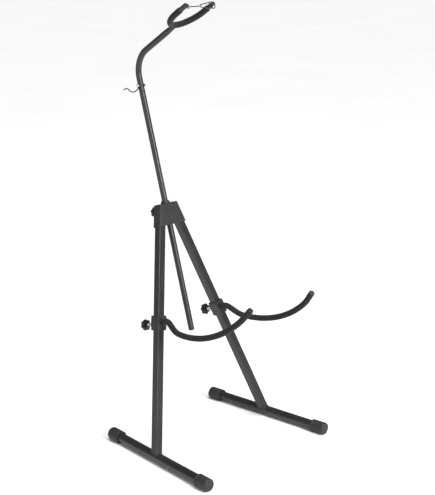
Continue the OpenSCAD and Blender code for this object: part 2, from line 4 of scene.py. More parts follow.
import bmesh
import bpy
import numpy as np
from mathutils import Matrix


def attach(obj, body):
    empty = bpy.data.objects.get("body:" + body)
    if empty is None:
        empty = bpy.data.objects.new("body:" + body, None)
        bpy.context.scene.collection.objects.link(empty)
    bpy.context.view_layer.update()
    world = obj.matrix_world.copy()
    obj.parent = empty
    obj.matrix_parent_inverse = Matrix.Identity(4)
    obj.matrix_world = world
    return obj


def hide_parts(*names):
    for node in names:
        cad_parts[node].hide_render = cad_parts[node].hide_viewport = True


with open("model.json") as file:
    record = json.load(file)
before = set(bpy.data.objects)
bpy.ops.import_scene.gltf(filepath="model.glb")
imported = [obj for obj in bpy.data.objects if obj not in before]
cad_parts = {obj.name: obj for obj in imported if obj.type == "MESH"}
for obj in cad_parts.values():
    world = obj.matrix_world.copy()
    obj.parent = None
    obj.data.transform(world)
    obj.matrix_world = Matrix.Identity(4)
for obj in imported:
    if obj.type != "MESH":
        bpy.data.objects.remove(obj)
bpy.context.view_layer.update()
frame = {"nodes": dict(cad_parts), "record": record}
joints = {j["name"]: j for j in frame["record"]["behaviour"]["joints"]}
LEFT, RIGHT = -1, 1
SIDE_NAMES = {LEFT: "left", RIGHT: "right"}
TAU = 2 * math.pi


# ---- The stand's own measures, in millimetres and degrees, as in its source ----

LEAN, SPLAY, PIVOT_X, LEG_LEN = 16.2, 16.8, 30.2, 749.0
LEG_W = 25.0
BASE_LEN, BASE_D, BASE_AHEAD, CAP_D, CAP_LEN = 476.0, 30.0, 9.0, 40.0, 50.0
MAST_D, MAST_LOW, BEND_START, BEND_R = 19.0, 340.0, 1149.0, 80.0
NECK_RISE, NECK_LEN, NECK_TIP_D, TAPER = 32.5, 155.0, 13.0, 45.0
FOAM_D, YOKE_REACH, YOKE_TURN, YOKE_R1, YOKE_R2 = 19.0, 95.0, 40.0, 44.0, 80.0
CLAMP_AT = {LEFT: 409.0, RIGHT: 397.0}
SLEEVE_D, ARM_YAW, ARM_RISE, CLAMP_SCREW_DROP = 35.0, 1.5, 4.0, 4.0
KNOB_D, KNOB_LOBES, SCREW_D, HUB_LEN, LOBE_LEN = 35.6, 7, 8.0, 7.0, 10.0
MAST_HUB_AT, CLAMP_HUB_AT, LOCK_Z = 43.0, 50.0, 7.5
HOOK_AT, HOOK_WIRE_D, LATCH_WIRE_D = 1125.0, 3.5, 3.0
ARM_STEPS = [(13, 33, -44), (22, 77, 27), (0, 345, 44), (0, 190, 11), (27.5, 0, 0)]
HOOK_STEPS = [(0, 6.5, 70), (9, 30, 62), (10, 11, -56), (4, 8, 22), (3, 0, 0)]


def rad(degrees):
    return degrees * math.pi / 180


def turn(axis, degrees):
    """4 by 4 matrix of a turn about X, Y or Z (axis 0, 1 or 2), by the right-hand rule."""
    m = np.eye(4)
    i, j = (axis + 1) % 3, (axis + 2) % 3
    c, s = math.cos(rad(degrees)), math.sin(rad(degrees))
    m[i, i], m[i, j], m[j, i], m[j, j] = c, -s, s, c
    return m


def move(x, y, z):
    m = np.eye(4)
    m[:3, 3] = x, y, z
    return m


BASE_Z = CAP_D / 2 - 1
PIVOT_Z = LEG_LEN * math.cos(rad(SPLAY))
BASE_TILT = math.degrees(math.atan2(math.sin(rad(LEAN)),
                                    math.cos(rad(SPLAY)) * math.cos(rad(LEAN))))
BASE_ROLL = math.degrees(math.atan2(
    math.sin(rad(SPLAY)) * math.cos(rad(LEAN)),
    math.sin(rad(BASE_TILT)) * math.sin(rad(LEAN))
    + math.cos(rad(BASE_TILT)) * math.cos(rad(SPLAY)) * math.cos(rad(LEAN))))
BEND = 90 - NECK_RISE + LEAN
# The left leg's pivot gives how far the stand is shifted to centre its box
CENTRE_Y = joints["left_leg_fold"]["pos_m"][1] * 1000 - PIVOT_Z * math.sin(rad(LEAN))
YOKE_HALF = YOKE_R1 * math.sin(rad(YOKE_TURN)) + YOKE_R2 * (1 - math.sin(rad(YOKE_TURN)))
YOKE_ARCS = YOKE_R1 * (1 - math.cos(rad(YOKE_TURN))) + YOKE_R2 * math.cos(rad(YOKE_TURN))

leaning = move(0, CENTRE_Y, BASE_Z) @ turn(0, -LEAN)
on_housing = leaning @ move(0, 0, PIVOT_Z)
on_yoke = (leaning @ move(0, -(BEND_R * (1 - math.cos(rad(BEND))) + NECK_LEN * math.sin(rad(BEND))),
                          BEND_START + BEND_R * math.sin(rad(BEND)) + NECK_LEN * math.cos(rad(BEND)))
           @ turn(0, BEND - 90))
at_latch = on_yoke @ move(13 - YOKE_HALF, -(YOKE_REACH + 20), -2)
at_hook = leaning @ move(-(MAST_D / 2 + 0.3 + 1 + HOOK_WIRE_D / 2), 0, HOOK_AT)


def on_leg(side):
    return leaning @ move(side * PIVOT_X, 0, PIVOT_Z) @ turn(1, -side * SPLAY) @ move(0, 0, -LEG_LEN)


def on_base(side):
    return on_leg(side) @ turn(0, BASE_TILT) @ turn(1, side * BASE_ROLL)


def on_clamp(side):
    return on_leg(side) @ move(0, 0, CLAMP_AT[side])


def along_arm(side):
    return (on_clamp(side) @ turn(2, side * ARM_YAW) @ move(0, -SLEEVE_D / 2, ARM_RISE)
            @ turn(1, -90) @ turn(0, 90))


# ---- Surfaces ----

def to_mesh(name, parts, material, place):
    """One object from a list of (points, faces), carried by the matrix place from mm to metres."""
    verts, faces, start = [], [], 0
    for points, polys in parts:
        p = points.reshape(-1, 3) @ place[:3, :3].T + place[:3, 3]
        verts.append(p / 1000)
        faces += [[i + start for i in f] for f in polys]
        start += len(p)
    mesh = bpy.data.meshes.new(name)
    mesh.from_pydata(np.vstack(verts).tolist(), [], faces)
    mesh.polygons.foreach_set("use_smooth", np.ones(len(mesh.polygons), bool))
    mesh.materials.append(material)
    mesh.update()
    obj = bpy.data.objects.new(name, mesh)
    bpy.context.scene.collection.objects.link(obj)
    return obj


def skin(rings, loop=False):
    """A closed surface over rings (n, m, 3), each running round and round: quads between
    neighbouring rings, and a fan to the middle of the first and the last unless they join up."""
    n, m = rings.shape[:2]
    i = np.arange(n if loop else n - 1)[:, None]
    j = np.arange(m)[None, :]
    a, b = i * m + j, i * m + (j + 1) % m
    c, d = ((i + 1) % n) * m + (j + 1) % m, ((i + 1) % n) * m + j
    faces = np.stack([a, b, c, d], axis=-1).reshape(-1, 4).tolist()
    points = rings.reshape(-1, 3)
    if not loop:
        points = np.vstack([points, rings[0].mean(0), rings[-1].mean(0)])
        j = np.arange(m)
        k = (j + 1) % m
        faces += np.stack([k, j, np.full(m, n * m)], axis=-1).tolist()
        last = (n - 1) * m
        faces += np.stack([last + j, last + k, np.full(m, n * m + 1)], axis=-1).tolist()
    return points, faces


def circle(m):
    t = np.arange(m) * TAU / m
    return np.cos(t), np.sin(t), t


def lathe(profile, m=96):
    """The profile's points (radius, height) carried round the Z axis."""
    profile = np.asarray(profile, float)
    c, s, _ = circle(m)
    r, z = profile[:, :1], profile[:, 1:]
    return np.stack([r * c, r * s, z + 0 * c], axis=-1)


def rounded(profile, radius, steps=5):
    """The profile with each inner corner cut back by up to radius and replaced by a
    quadratic arc: (1-t)^2 A + 2t(1-t) corner + t^2 B."""
    p = np.asarray(profile, float)
    out = [p[0]]
    t = np.linspace(0, 1, steps + 1)[:, None]
    for before, corner, after in zip(p[:-2], p[1:-1], p[2:]):
        u, v = before - corner, after - corner
        lu, lv = np.linalg.norm(u), np.linalg.norm(v)
        cut = min(radius, 0.48 * lu, 0.48 * lv)
        a, b = corner + u / lu * cut, corner + v / lv * cut
        out += list((1 - t) ** 2 * a + 2 * t * (1 - t) * corner + t ** 2 * b)
    out.append(p[-1])
    return np.array(out)


def path_length(steps):
    return sum(s[0] + s[1] * abs(rad(s[2])) for s in steps)


def along_path(steps, s):
    """Points, headings and side directions at arc lengths s of a plane path of straights and
    bends. It starts at the origin along Z and bends towards X."""
    points = np.zeros((len(s), 3))
    heading = np.zeros(len(s))
    at, h, p = 0.0, 0.0, np.zeros(3)
    for straight, radius, angle in steps + [(1e6, 0, 0)]:
        here = s >= at - 1e-9
        points[here] = p + (s[here] - at)[:, None] * np.array([math.sin(h), 0, math.cos(h)])
        heading[here] = h
        p = p + straight * np.array([math.sin(h), 0, math.cos(h)])
        at += straight
        if angle:
            way, a = math.copysign(1, angle), abs(rad(angle))
            here = s >= at - 1e-9
            g = h + way * np.minimum((s[here] - at) / radius, a)
            points[here] = p + way * radius * np.stack(
                [math.cos(h) - np.cos(g), 0 * g, np.sin(g) - math.sin(h)], axis=-1)
            heading[here] = g
            end = h + way * a
            p = p + way * radius * np.array([math.cos(h) - math.cos(end), 0,
                                             math.sin(end) - math.sin(h)])
            at, h = at + radius * a, end
    side = np.stack([np.cos(heading), 0 * heading, -np.sin(heading)], axis=-1)
    return points, heading, side


def carried(steps, radius, m, spacing, end):
    """Rings carried along a path: the ring at s is centre + r (cos t side + sin t Y), where the
    radius is a number or a function of (s, t). Both ends are rounded over `end`, as a quarter
    ellipse r = radius - end (1 - sqrt(1 - u^2))."""
    length = path_length(steps)
    body = np.linspace(end, length - end, max(int((length - 2 * end) / spacing), 2) + 1)
    near = end * (1 - np.sin(np.linspace(math.pi / 2, 0, 6))[:-1])
    s = np.concatenate([near, body, length - near[::-1]])
    reach = np.maximum(end - s, 0) + np.maximum(s - (length - end), 0)
    cut = end * (1 - np.sqrt(np.clip(1 - (reach / end) ** 2, 0, 1)))
    c, sn, t = circle(m)
    centre, _, side = along_path(steps, s)
    r = (radius(s[:, None], t[None, :]) if callable(radius) else radius) - cut[:, None] + 0 * c
    return (centre[:, None] + r[..., None] * (c[:, None] * side[:, None]
            + sn[:, None] * np.array([0.0, 1.0, 0.0])))


def bead(curve, away, radius):
    """A closed bead along a closed curve. away points off the joint, and the radius swells and
    shrinks with the welder's steps of about 2.5 mm."""
    ahead = np.roll(curve, -1, 0) - np.roll(curve, 1, 0)
    ahead /= np.linalg.norm(ahead, axis=1)[:, None]
    away = away - (away * ahead).sum(1)[:, None] * ahead
    away /= np.linalg.norm(away, axis=1)[:, None]
    across = np.cross(ahead, away)
    gap = np.linalg.norm(np.roll(curve, -1, 0) - curve, axis=1)
    s = np.cumsum(gap) - gap[0]
    steps = max(round(gap.sum() / 2.5), 1)
    r = radius * (1 + 0.16 * np.sin(TAU * steps * s / gap.sum()))
    c, sn, _ = circle(14)
    return curve[:, None] + r[:, None, None] * (c[:, None] * away[:, None]
                                                + sn[:, None] * across[:, None])


# ---- Materials ----

def linear(hex_colour):
    """sRGB hex, such as "2a2b2c", as linear RGBA."""
    v = np.array([int(hex_colour[i:i + 2], 16) / 255 for i in (0, 2, 4)])
    return tuple(np.where(v <= 0.04045, v / 12.92, ((v + 0.055) / 1.055) ** 2.4)) + (1.0,)


def per_mm(millimetres):
    """The scale that gives a pattern on Object coordinates, which are in metres, this size."""
    return 1000 / millimetres


def add(tree, kind, inputs=None, **settings):
    """Adds a node. inputs maps a socket's name or number to a value or to a socket to link."""
    node = tree.nodes.new(kind)
    for name, value in settings.items():
        setattr(node, name, value)
    for key, value in (inputs or {}).items():
        if isinstance(value, bpy.types.NodeSocket):
            tree.links.new(value, node.inputs[key])
        else:
            node.inputs[key].default_value = value
    return node


def new_material(name):
    material = bpy.data.materials.new(name)
    material.use_nodes = True
    tree = material.node_tree
    tree.nodes.clear()
    out = add(tree, "ShaderNodeOutputMaterial")
    shader = add(tree, "ShaderNodeBsdfPrincipled")
    tree.links.new(shader.outputs[0], out.inputs[0])
    where = add(tree, "ShaderNodeTexCoord").outputs["Object"]
    return material, tree, shader, where


def ramp(tree, fac, stops):
    """A colour ramp through (position, colour) stops."""
    node = add(tree, "ShaderNodeValToRGB", {0: fac})
    while len(node.color_ramp.elements) < len(stops):
        node.color_ramp.elements.new(0.5)
    for element, (position, colour) in zip(node.color_ramp.elements, stops):
        element.position, element.color = position, colour
    return node.outputs[0]


def powder_coat(name, dark, light, rough):
    """Black polyester powder coat on steel tube, sprayed and baked. It flows into a fine orange
    peel with a satin gloss, a little thicker here and there, with faint rubbed marks."""
    material, tree, shader, where = new_material(name)
    cloud = add(tree, "ShaderNodeTexNoise", {"Vector": where, "Scale": per_mm(60), "Detail": 3.0})
    tree.links.new(ramp(tree, cloud.outputs[0], [(0.35, linear(dark)), (0.68, linear(light))]),
                   shader.inputs["Base Color"])
    # peel: the real one is about 0.8 mm; it is drawn at 2.2 mm with a finer octave so that it shows
    peel = add(tree, "ShaderNodeTexNoise",
               {"Vector": where, "Scale": per_mm(2.2), "Detail": 2.0, "Roughness": 0.55})
    rubbed = add(tree, "ShaderNodeTexNoise",
                 {"Vector": where, "Scale": per_mm(14), "Detail": 5.0, "Roughness": 0.7})
    gloss = add(tree, "ShaderNodeMapRange",
                {0: rubbed.outputs[0], 1: 0.3, 2: 0.7, 3: rough - 0.07, 4: rough + 0.09})
    tree.links.new(gloss.outputs[0], shader.inputs["Roughness"])
    bump = add(tree, "ShaderNodeBump",
               {"Strength": 0.35, "Distance": 0.00012, "Height": peel.outputs[0]})
    tree.links.new(bump.outputs[0], shader.inputs["Normal"])
    shader.inputs["IOR"].default_value = 1.52
    shader.inputs["Specular IOR Level"].default_value = 0.55
    return material


def moulded(name, dark, light, rough, grain_mm, depth, flow=0.0):
    """Injection-moulded black plastic: a spark-eroded grain from the tool, slightly uneven
    gloss, and broad faint flow marks where flow is above 0."""
    material, tree, shader, where = new_material(name)
    cloud = add(tree, "ShaderNodeTexNoise", {"Vector": where, "Scale": per_mm(25), "Detail": 4.0})
    tree.links.new(ramp(tree, cloud.outputs[0], [(0.3, linear(dark)), (0.7, linear(light))]),
                   shader.inputs["Base Color"])
    grain = add(tree, "ShaderNodeTexVoronoi",
                {"Vector": where, "Scale": per_mm(grain_mm)}, feature="SMOOTH_F1")
    fine = add(tree, "ShaderNodeTexNoise",
               {"Vector": where, "Scale": per_mm(grain_mm * 0.7), "Detail": 3.0})
    height = add(tree, "ShaderNodeMath", {0: grain.outputs[0], 1: fine.outputs[0]}, operation="ADD")
    if flow:
        marks = add(tree, "ShaderNodeTexNoise",
                    {"Vector": where, "Scale": per_mm(18), "Detail": 1.0, "Distortion": 1.2})
        lifted = add(tree, "ShaderNodeMath", {0: marks.outputs[0], 1: flow}, operation="MULTIPLY")
        height = add(tree, "ShaderNodeMath", {0: height.outputs[0], 1: lifted.outputs[0]},
                     operation="ADD")
    worn = add(tree, "ShaderNodeTexNoise", {"Vector": where, "Scale": per_mm(9), "Detail": 4.0})
    gloss = add(tree, "ShaderNodeMapRange",
                {0: worn.outputs[0], 1: 0.3, 2: 0.7, 3: rough - 0.06, 4: rough + 0.08})
    tree.links.new(gloss.outputs[0], shader.inputs["Roughness"])
    bump = add(tree, "ShaderNodeBump",
               {"Strength": 0.5, "Distance": depth, "Height": height.outputs[0]})
    tree.links.new(bump.outputs[0], shader.inputs["Normal"])
    shader.inputs["IOR"].default_value = 1.53
    return material


def nitrile_foam(name, dark, light):
    """Closed-cell nitrile foam tube, extruded: dead matt, with a skin of burst cells about half
    a millimetre wide, shallow dents from handling, and a sheen that catches a soft grazing
    light. The colour follows the depth of the cells and dents: painted shade in the pits and
    dents, and a painted highlight on the cell rims."""
    material, tree, shader, where = new_material(name)
    # cells: drawn at 1.3 mm so that they show
    cells = add(tree, "ShaderNodeTexVoronoi", {"Vector": where, "Scale": per_mm(1.3)})
    patchy = add(tree, "ShaderNodeTexNoise",
                 {"Vector": where, "Scale": per_mm(5), "Detail": 5.0, "Roughness": 0.65})
    pit_depth_and_painted_shade = add(tree, "ShaderNodeMath",
               {0: cells.outputs[0], 1: patchy.outputs[0]}, operation="MULTIPLY")
    # painted shade and highlight: the colour is darkest in the cell pits and dents and lightest on
    # the cell rims
    tree.links.new(ramp(tree, pit_depth_and_painted_shade.outputs[0], [(0.05, linear(dark)), (0.45, linear(light))]),
                   shader.inputs["Base Color"])
    deep = add(tree, "ShaderNodeMath",
               {0: pit_depth_and_painted_shade.outputs[0], 1: patchy.outputs[0]}, operation="ADD")
    bump = add(tree, "ShaderNodeBump",
               {"Strength": 0.9, "Distance": 0.0004, "Height": deep.outputs[0]})
    tree.links.new(bump.outputs[0], shader.inputs["Normal"])
    shader.inputs["Roughness"].default_value = 0.94
    shader.inputs["Specular IOR Level"].default_value = 0.2
    shader.inputs["Sheen Weight"].default_value = 0.25
    shader.inputs["Sheen Roughness"].default_value = 0.5
    shader.inputs["Sheen Tint"].default_value = linear("8a8c90")
    return material


def moulded_rubber(name, dark, light):
    """Natural rubber, compression moulded and carbon black filled: matt, with dusty bloom and
    scuffs, darker where it is handled."""
    material, tree, shader, where = new_material(name)
    bloom = add(tree, "ShaderNodeTexNoise",
                {"Vector": where, "Scale": per_mm(11), "Detail": 6.0, "Roughness": 0.7})
    tree.links.new(ramp(tree, bloom.outputs[0], [(0.35, linear(dark)), (0.75, linear(light))]),
                   shader.inputs["Base Color"])
    gloss = add(tree, "ShaderNodeMapRange",
                {0: bloom.outputs[0], 1: 0.3, 2: 0.75, 3: 0.52, 4: 0.78})
    tree.links.new(gloss.outputs[0], shader.inputs["Roughness"])
    grain = add(tree, "ShaderNodeTexNoise",
                {"Vector": where, "Scale": per_mm(1.4), "Detail": 4.0, "Roughness": 0.6})
    bump = add(tree, "ShaderNodeBump",
               {"Strength": 0.5, "Distance": 0.00018, "Height": grain.outputs[0]})
    tree.links.new(bump.outputs[0], shader.inputs["Normal"])
    shader.inputs["IOR"].default_value = 1.52
    return material


def plated(name, dark, light, rough, blotch_mm=5.0):
    """Metal with a thin electroplated coat: bright, with cloudy passivation, short rubbed
    scratches and a gloss that varies over a few millimetres."""
    material, tree, shader, where = new_material(name)
    cloud = add(tree, "ShaderNodeTexNoise",
                {"Vector": where, "Scale": per_mm(blotch_mm), "Detail": 4.0, "Roughness": 0.6})
    tree.links.new(ramp(tree, cloud.outputs[0], [(0.3, linear(dark)), (0.7, linear(light))]),
                   shader.inputs["Base Color"])
    squeezed = add(tree, "ShaderNodeMapping", {"Vector": where, "Scale": (1.0, 0.12, 1.0)})
    scratches = add(tree, "ShaderNodeTexNoise",
                    {"Vector": squeezed.outputs[0], "Scale": per_mm(0.5), "Detail": 3.0})
    gloss = add(tree, "ShaderNodeMapRange",
                {0: scratches.outputs[0], 1: 0.3, 2: 0.7, 3: rough - 0.08, 4: rough + 0.12})
    tree.links.new(gloss.outputs[0], shader.inputs["Roughness"])
    bump = add(tree, "ShaderNodeBump",
               {"Strength": 0.3, "Distance": 0.00004, "Height": scratches.outputs[0]})
    tree.links.new(bump.outputs[0], shader.inputs["Normal"])
    shader.inputs["Metallic"].default_value = 1.0
    return material


tube_black = powder_coat("satin_black_powder_coat", "0f1011", "1a1b1c", 0.4)
wire_black = powder_coat("black_coated_wire", "09090a", "101011", 0.36)
housing_plastic = moulded("moulded_black_housing", "17181a", "232426", 0.5, 1.6, 0.00014, 0.6)
sleeve_plastic = moulded("moulded_black_sleeve", "131416", "1e1f21", 0.47, 1.6, 0.00012, 0.5)
knob_plastic = moulded("moulded_black_knob", "08080a", "101012", 0.34, 1.2, 0.00004)
foam_black = nitrile_foam("black_nitrile_foam", "0f0f10", "2c2c2e")
rubber_black = moulded_rubber("black_moulded_rubber", "151516", "262627")
zinc = plated("bright_zinc_plate", "a9adb2", "d3d6d8", 0.28)
dull_wire = plated("dull_zinc_wire", "242527", "6d6f72", 0.3, 2.5)
turned_brass = plated("turned_brass", "a8833f", "c9a55c", 0.3)
black_oxide = plated("black_oxide_steel", "1d1d1f", "303033", 0.4)


# ---- Pieces ----

def stands_for(obj, body, *nodes):
    """Rides the piece on its body and shows it in place of these nodes."""
    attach(obj, body)
    if nodes:
        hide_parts(*nodes)
    return obj


def softened(node, body, material, width):
    """A copy of a CAD node with its loose triangles merged, its flats made whole again and its
    sharp edges rolled over by width in mm."""
    mesh = frame["nodes"][node].data.copy()
    work = bmesh.new()
    work.from_mesh(mesh)
    bmesh.ops.remove_doubles(work, verts=work.verts, dist=2e-6)
    bmesh.ops.dissolve_limit(work, angle_limit=rad(0.5), verts=work.verts, edges=work.edges)
    for face in work.faces:
        face.smooth = True
    work.to_mesh(mesh)
    work.free()
    mesh.materials.clear()
    mesh.materials.append(material)
    if "custom_normal" in mesh.attributes:
        mesh.attributes.remove(mesh.attributes["custom_normal"])
    obj = bpy.data.objects.new(node + "_moulding", mesh)
    bpy.context.scene.collection.objects.link(obj)
    roll = obj.modifiers.new("rolled_edges", "BEVEL")
    roll.width, roll.segments = width / 1000, 3
    roll.limit_method, roll.angle_limit = "ANGLE", rad(28)
    roll.harden_normals = True
    roll.use_clamp_overlap = False
    roll.miter_outer = "MITER_ARC"
    return stands_for(obj, body, node)


def uneven(radius, amount, seed):
    """A radius that wanders by amount over some tens of millimetres: three sines in s and t."""
    rng = np.random.default_rng(seed)
    phase = rng.uniform(0, TAU, 6)

    def at(s, t):
        wave = (np.sin(s / 11 + phase[0]) * np.cos(t + phase[1])
                + 0.7 * np.sin(s / 5.3 + phase[2]) * np.cos(2 * t + phase[3])
                + 0.5 * np.sin(s / 23 + phase[4]) * np.cos(3 * t + phase[5]))
        return radius - amount + amount * wave / 2.2
    return at


def arm_foam_radius(seed):
    """The arm's foam, creased on the inside of its tight bend: creases 3.4 mm apart that fade
    in and out over the bend, which lies from 13 to 38 mm along."""
    base = uneven(FOAM_D / 2, 0.12, seed)

    def at(s, t):
        window = np.clip((s - 10) / 6, 0, 1) * np.clip((42 - s) / 6, 0, 1)
        inside = np.clip(-np.cos(t), 0, 1) ** 2
        return base(s, t) - 0.3 * window * inside * (0.5 + 0.5 * np.sin(TAU * s / 3.4))
    return at


def yoke_foam_radius(seed):
    """The yoke's foam, creased on the inside of the root's bend, 0 to 15 mm along."""
    base = uneven(FOAM_D / 2, 0.12, seed)

    def at(s, t):
        window = np.clip((20 - s) / 8, 0, 1)
        inside = np.clip(np.cos(t), 0, 1) ** 2
        return base(s, t) - 0.35 * window * inside * (0.5 + 0.5 * np.sin(TAU * s / 3.8))
    return at


# Foam sleeves on the arms and the yoke, and the plugs in the arms' ends
arm_end = along_path(ARM_STEPS, np.array([path_length(ARM_STEPS)]))
for side, name in SIDE_NAMES.items():
    foam = to_mesh(f"{name}_arm_foam_sleeve",
                   [skin(carried(ARM_STEPS, arm_foam_radius(3 + side), 44, 1.1, 1.2))],
                   foam_black, along_arm(side))
    stands_for(foam, f"{name}_clamp", f"{name}_arm_foam")
    tip = along_arm(side) @ move(*arm_end[0][0]) @ turn(1, math.degrees(arm_end[1][0]))
    plug = rounded([(0, -4), (3.9, -4), (3.9, 0.0), (8.5, 0.0), (8.5, 1.5), (7.6, 2.5), (0, 2.5)],
                   0.5)
    stands_for(to_mesh(f"{name}_arm_end_plug", [skin(lathe(plug, 64))], sleeve_plastic, tip),
               f"{name}_clamp", f"{name}_arm_plug")
    yoke_steps = [(0, YOKE_R1, YOKE_TURN), (0, YOKE_R2, 90 - YOKE_TURN),
                  (YOKE_REACH - YOKE_ARCS, 0, 0)]
    rings = carried(yoke_steps, yoke_foam_radius(7 + side), 44, 1.1, 1.3)
    # the left half is the right half mirrored, and its rings run the other way round for that
    flip = np.diag([side, 1.0, 1.0, 1.0])
    if side == LEFT:
        rings = rings[:, ::-1]
    foam = to_mesh(f"yoke_{name}_foam_sleeve", [skin(rings)], foam_black,
                   on_yoke @ flip @ turn(0, -90) @ turn(1, 90))
    stands_for(foam, "mast", f"yoke_{name}_foam")


def knob_rim(t):
    """The star's outline as a radius: a circle, with a round scallop between each two lobes. The
    scallop is where a ray meets a circle of radius 5 centred 20 from the middle, and the two
    are joined by a soft minimum."""
    step = TAU / KNOB_LOBES
    off = np.abs((t / step) % 1 - 0.5) * step
    inside = 25 - (20 * np.sin(off)) ** 2
    scallop = np.where(inside > 0, 20 * np.cos(off) - np.sqrt(np.maximum(inside, 0)),
                       20 * np.cos(off) + 3 * np.sqrt(np.maximum(-inside, 0)))
    full = KNOB_D / 2
    k = 1.1
    return -k * np.log(np.exp(-scallop / k) + np.exp(-full / k)) + 0.25


def star_knob_surface():
    """Rings up the knob: hub, underside, lobes with rolled edges, a shallow dish and a raised
    button. Each ring is circle radius + share of the star's outline, at a height."""
    _, _, t = circle(KNOB_LOBES * 24)
    rim = np.minimum(knob_rim(t), KNOB_D / 2)
    h = HUB_LEN
    rows = [(8.9, 0, 0), (9.4, 0, 0.25), (9.5, 0, 0.8), (8.6, 0, h - 0.9), (8.8, 0, h - 0.35)]
    rings = [(r + 0 * t, z) for r, _, z in rows]
    for back, z in ((3.2, h), (1.7, h), (1.0, h + 0.12), (0.45, h + 0.45), (0.12, h + 0.95),
                    (0, h + 1.7), (0, h + 5), (0, h + LOBE_LEN - 2.6), (0.15, h + LOBE_LEN - 1.7),
                    (0.6, h + LOBE_LEN - 0.8), (1.3, h + LOBE_LEN - 0.25), (2.2, h + LOBE_LEN),
                    (3.2, h + LOBE_LEN - 0.05)):
        rings.append((rim - back, z))
    for r, z in ((11.2, LOBE_LEN - 0.25), (10.9, LOBE_LEN + 0.05), (10.6, LOBE_LEN + 1.0),
                 (10.2, LOBE_LEN + 1.55), (9.4, LOBE_LEN + 1.95), (8.4, LOBE_LEN + 1.9),
                 (7.9, LOBE_LEN + 1.6), (5.0, LOBE_LEN + 1.35), (2.0, LOBE_LEN + 1.3)):
        rings.append((np.minimum(r + 0 * t, rim - 0.6), h + z))
    return np.stack([np.stack([r * np.cos(t), r * np.sin(t), z + 0 * t], axis=-1)
                     for r, z in rings])


def threaded(length, diameter, pitch, m=28):
    """A screw's shank: radius = d/2 - depth * triangle wave of (z/pitch - angle/turn), which is a
    helix, with a chamfered tip."""
    z = np.linspace(0, length, int(length / pitch * 9) + 1)
    c, s, t = circle(m)
    depth = 0.61 * pitch
    phase = (z[:, None] / pitch - t[None, :] / TAU) % 1
    cut = depth * np.clip(np.abs(phase - 0.5) * 2.3 - 0.15, 0, 1)
    r = diameter / 2 - np.maximum(cut, np.clip(1 - z, 0, 1)[:, None] * 1.0)
    return np.stack([r * c, r * s, z[:, None] + 0 * c], axis=-1)


# Star knobs and their screws
knob = skin(star_knob_surface())
facing_back = turn(0, -90)   # carries +Z to +Y
knob_places = [("mast_lock", "mast_lock", on_housing @ move(0, 0, LOCK_Z), MAST_HUB_AT, 12.3)]
for side, name in SIDE_NAMES.items():
    knob_places.append((f"{name}_clamp", f"{name}_lock",
                        on_clamp(side) @ move(0, 0, -CLAMP_SCREW_DROP), CLAMP_HUB_AT, 15.8))
for name, body, place, hub_at, tip_at in knob_places:
    stands_for(to_mesh(f"{name}_star_knob", [knob], knob_plastic,
                       place @ move(0, hub_at, 0) @ facing_back), body, f"{name}_knob")
    shank = threaded(hub_at + HUB_LEN + 3 - tip_at, SCREW_D, 1.25)
    stands_for(to_mesh(f"{name}_threaded_screw", [skin(shank)], zinc,
                       place @ move(0, tip_at, 0) @ facing_back), body, f"{name}_screw")

# Rubber caps: lip, groove, body and a domed end, flat underneath where z would pass the floor
for side, name in SIDE_NAMES.items():
    for end, where in ((-1, "front"), (1, "rear")):
        r = CAP_D / 2
        profile = rounded([(14.6, 0.5), (15.0, 0), (r - 0.8, 0), (r, 0.8), (r, 6), (r - 1.2, 7.0),
                           (r - 1.2, 9.2), (r, 10.2), (r, 24), (r, CAP_LEN - 5),
                           (r - 1.5, CAP_LEN - 1.4), (r - 5, CAP_LEN - 0.1), (r - 8, CAP_LEN),
                           (r - 9, CAP_LEN - 0.5), (2, CAP_LEN - 0.5)], 1.4, 6)
        rings = lathe(profile, 112)
        place = move(0, -BASE_AHEAD + end * (BASE_LEN / 2 - CAP_LEN), 0) @ turn(0, -90 * end)
        p = rings.reshape(-1, 3) @ place[:3, :3].T + place[:3, 3]
        p[:, 2] = np.maximum(p[:, 2], -BASE_Z)
        rings = p.reshape(rings.shape)
        stands_for(to_mesh(f"{name}_{where}_rubber_cap", [skin(rings)], rubber_black, on_base(side)),
                   f"{name}_leg", f"{name}_{where}_cap")

# The mast with its bend and tapered neck, smooth all along
MAST_STEPS = [(BEND_START - MAST_LOW, BEND_R, BEND), (NECK_LEN, 0, 0)]
mast_length = path_length(MAST_STEPS)


def mast_radius(s, t):
    """Round tube that narrows evenly over the neck's last stretch."""
    taper = np.clip((s - (mast_length - TAPER)) / TAPER, 0, 1)
    return MAST_D / 2 + (NECK_TIP_D - MAST_D) / 2 * taper + 0 * t


mast = carried(MAST_STEPS, mast_radius, 56, 4.0, 0.5)
stands_for(to_mesh("mast_and_neck", [skin(mast)], tube_black,
                   leaning @ move(0, 0, MAST_LOW) @ turn(2, -90)), "mast", "mast_tube")
end_plug = rounded([(0, -4), (6.6, -4), (9.2, -2.2), (9.5, -1.2), (9.5, 0), (8.3, 0), (8.3, 12),
                    (0, 12)], 0.8)
stands_for(to_mesh("mast_end_plug_cap", [skin(lathe(end_plug, 64))], sleeve_plastic,
                   leaning @ move(0, 0, MAST_LOW)), "mast", "mast_end_plug")


def eye(radius, wire, m=48):
    """A ring in the XY plane: (R + r cos v)(cos u, sin u), r sin v."""
    u = (np.arange(m) * TAU / m)[:, None]
    v = (np.arange(20) * TAU / 20)[None, :]
    r = radius + wire * np.cos(v)
    return np.stack([r * np.cos(u), r * np.sin(u), wire * np.sin(v) + 0 * u], axis=-1)[:, ::-1]


def placed(rings, place):
    return rings @ place[:3, :3].T + place[:3, 3]


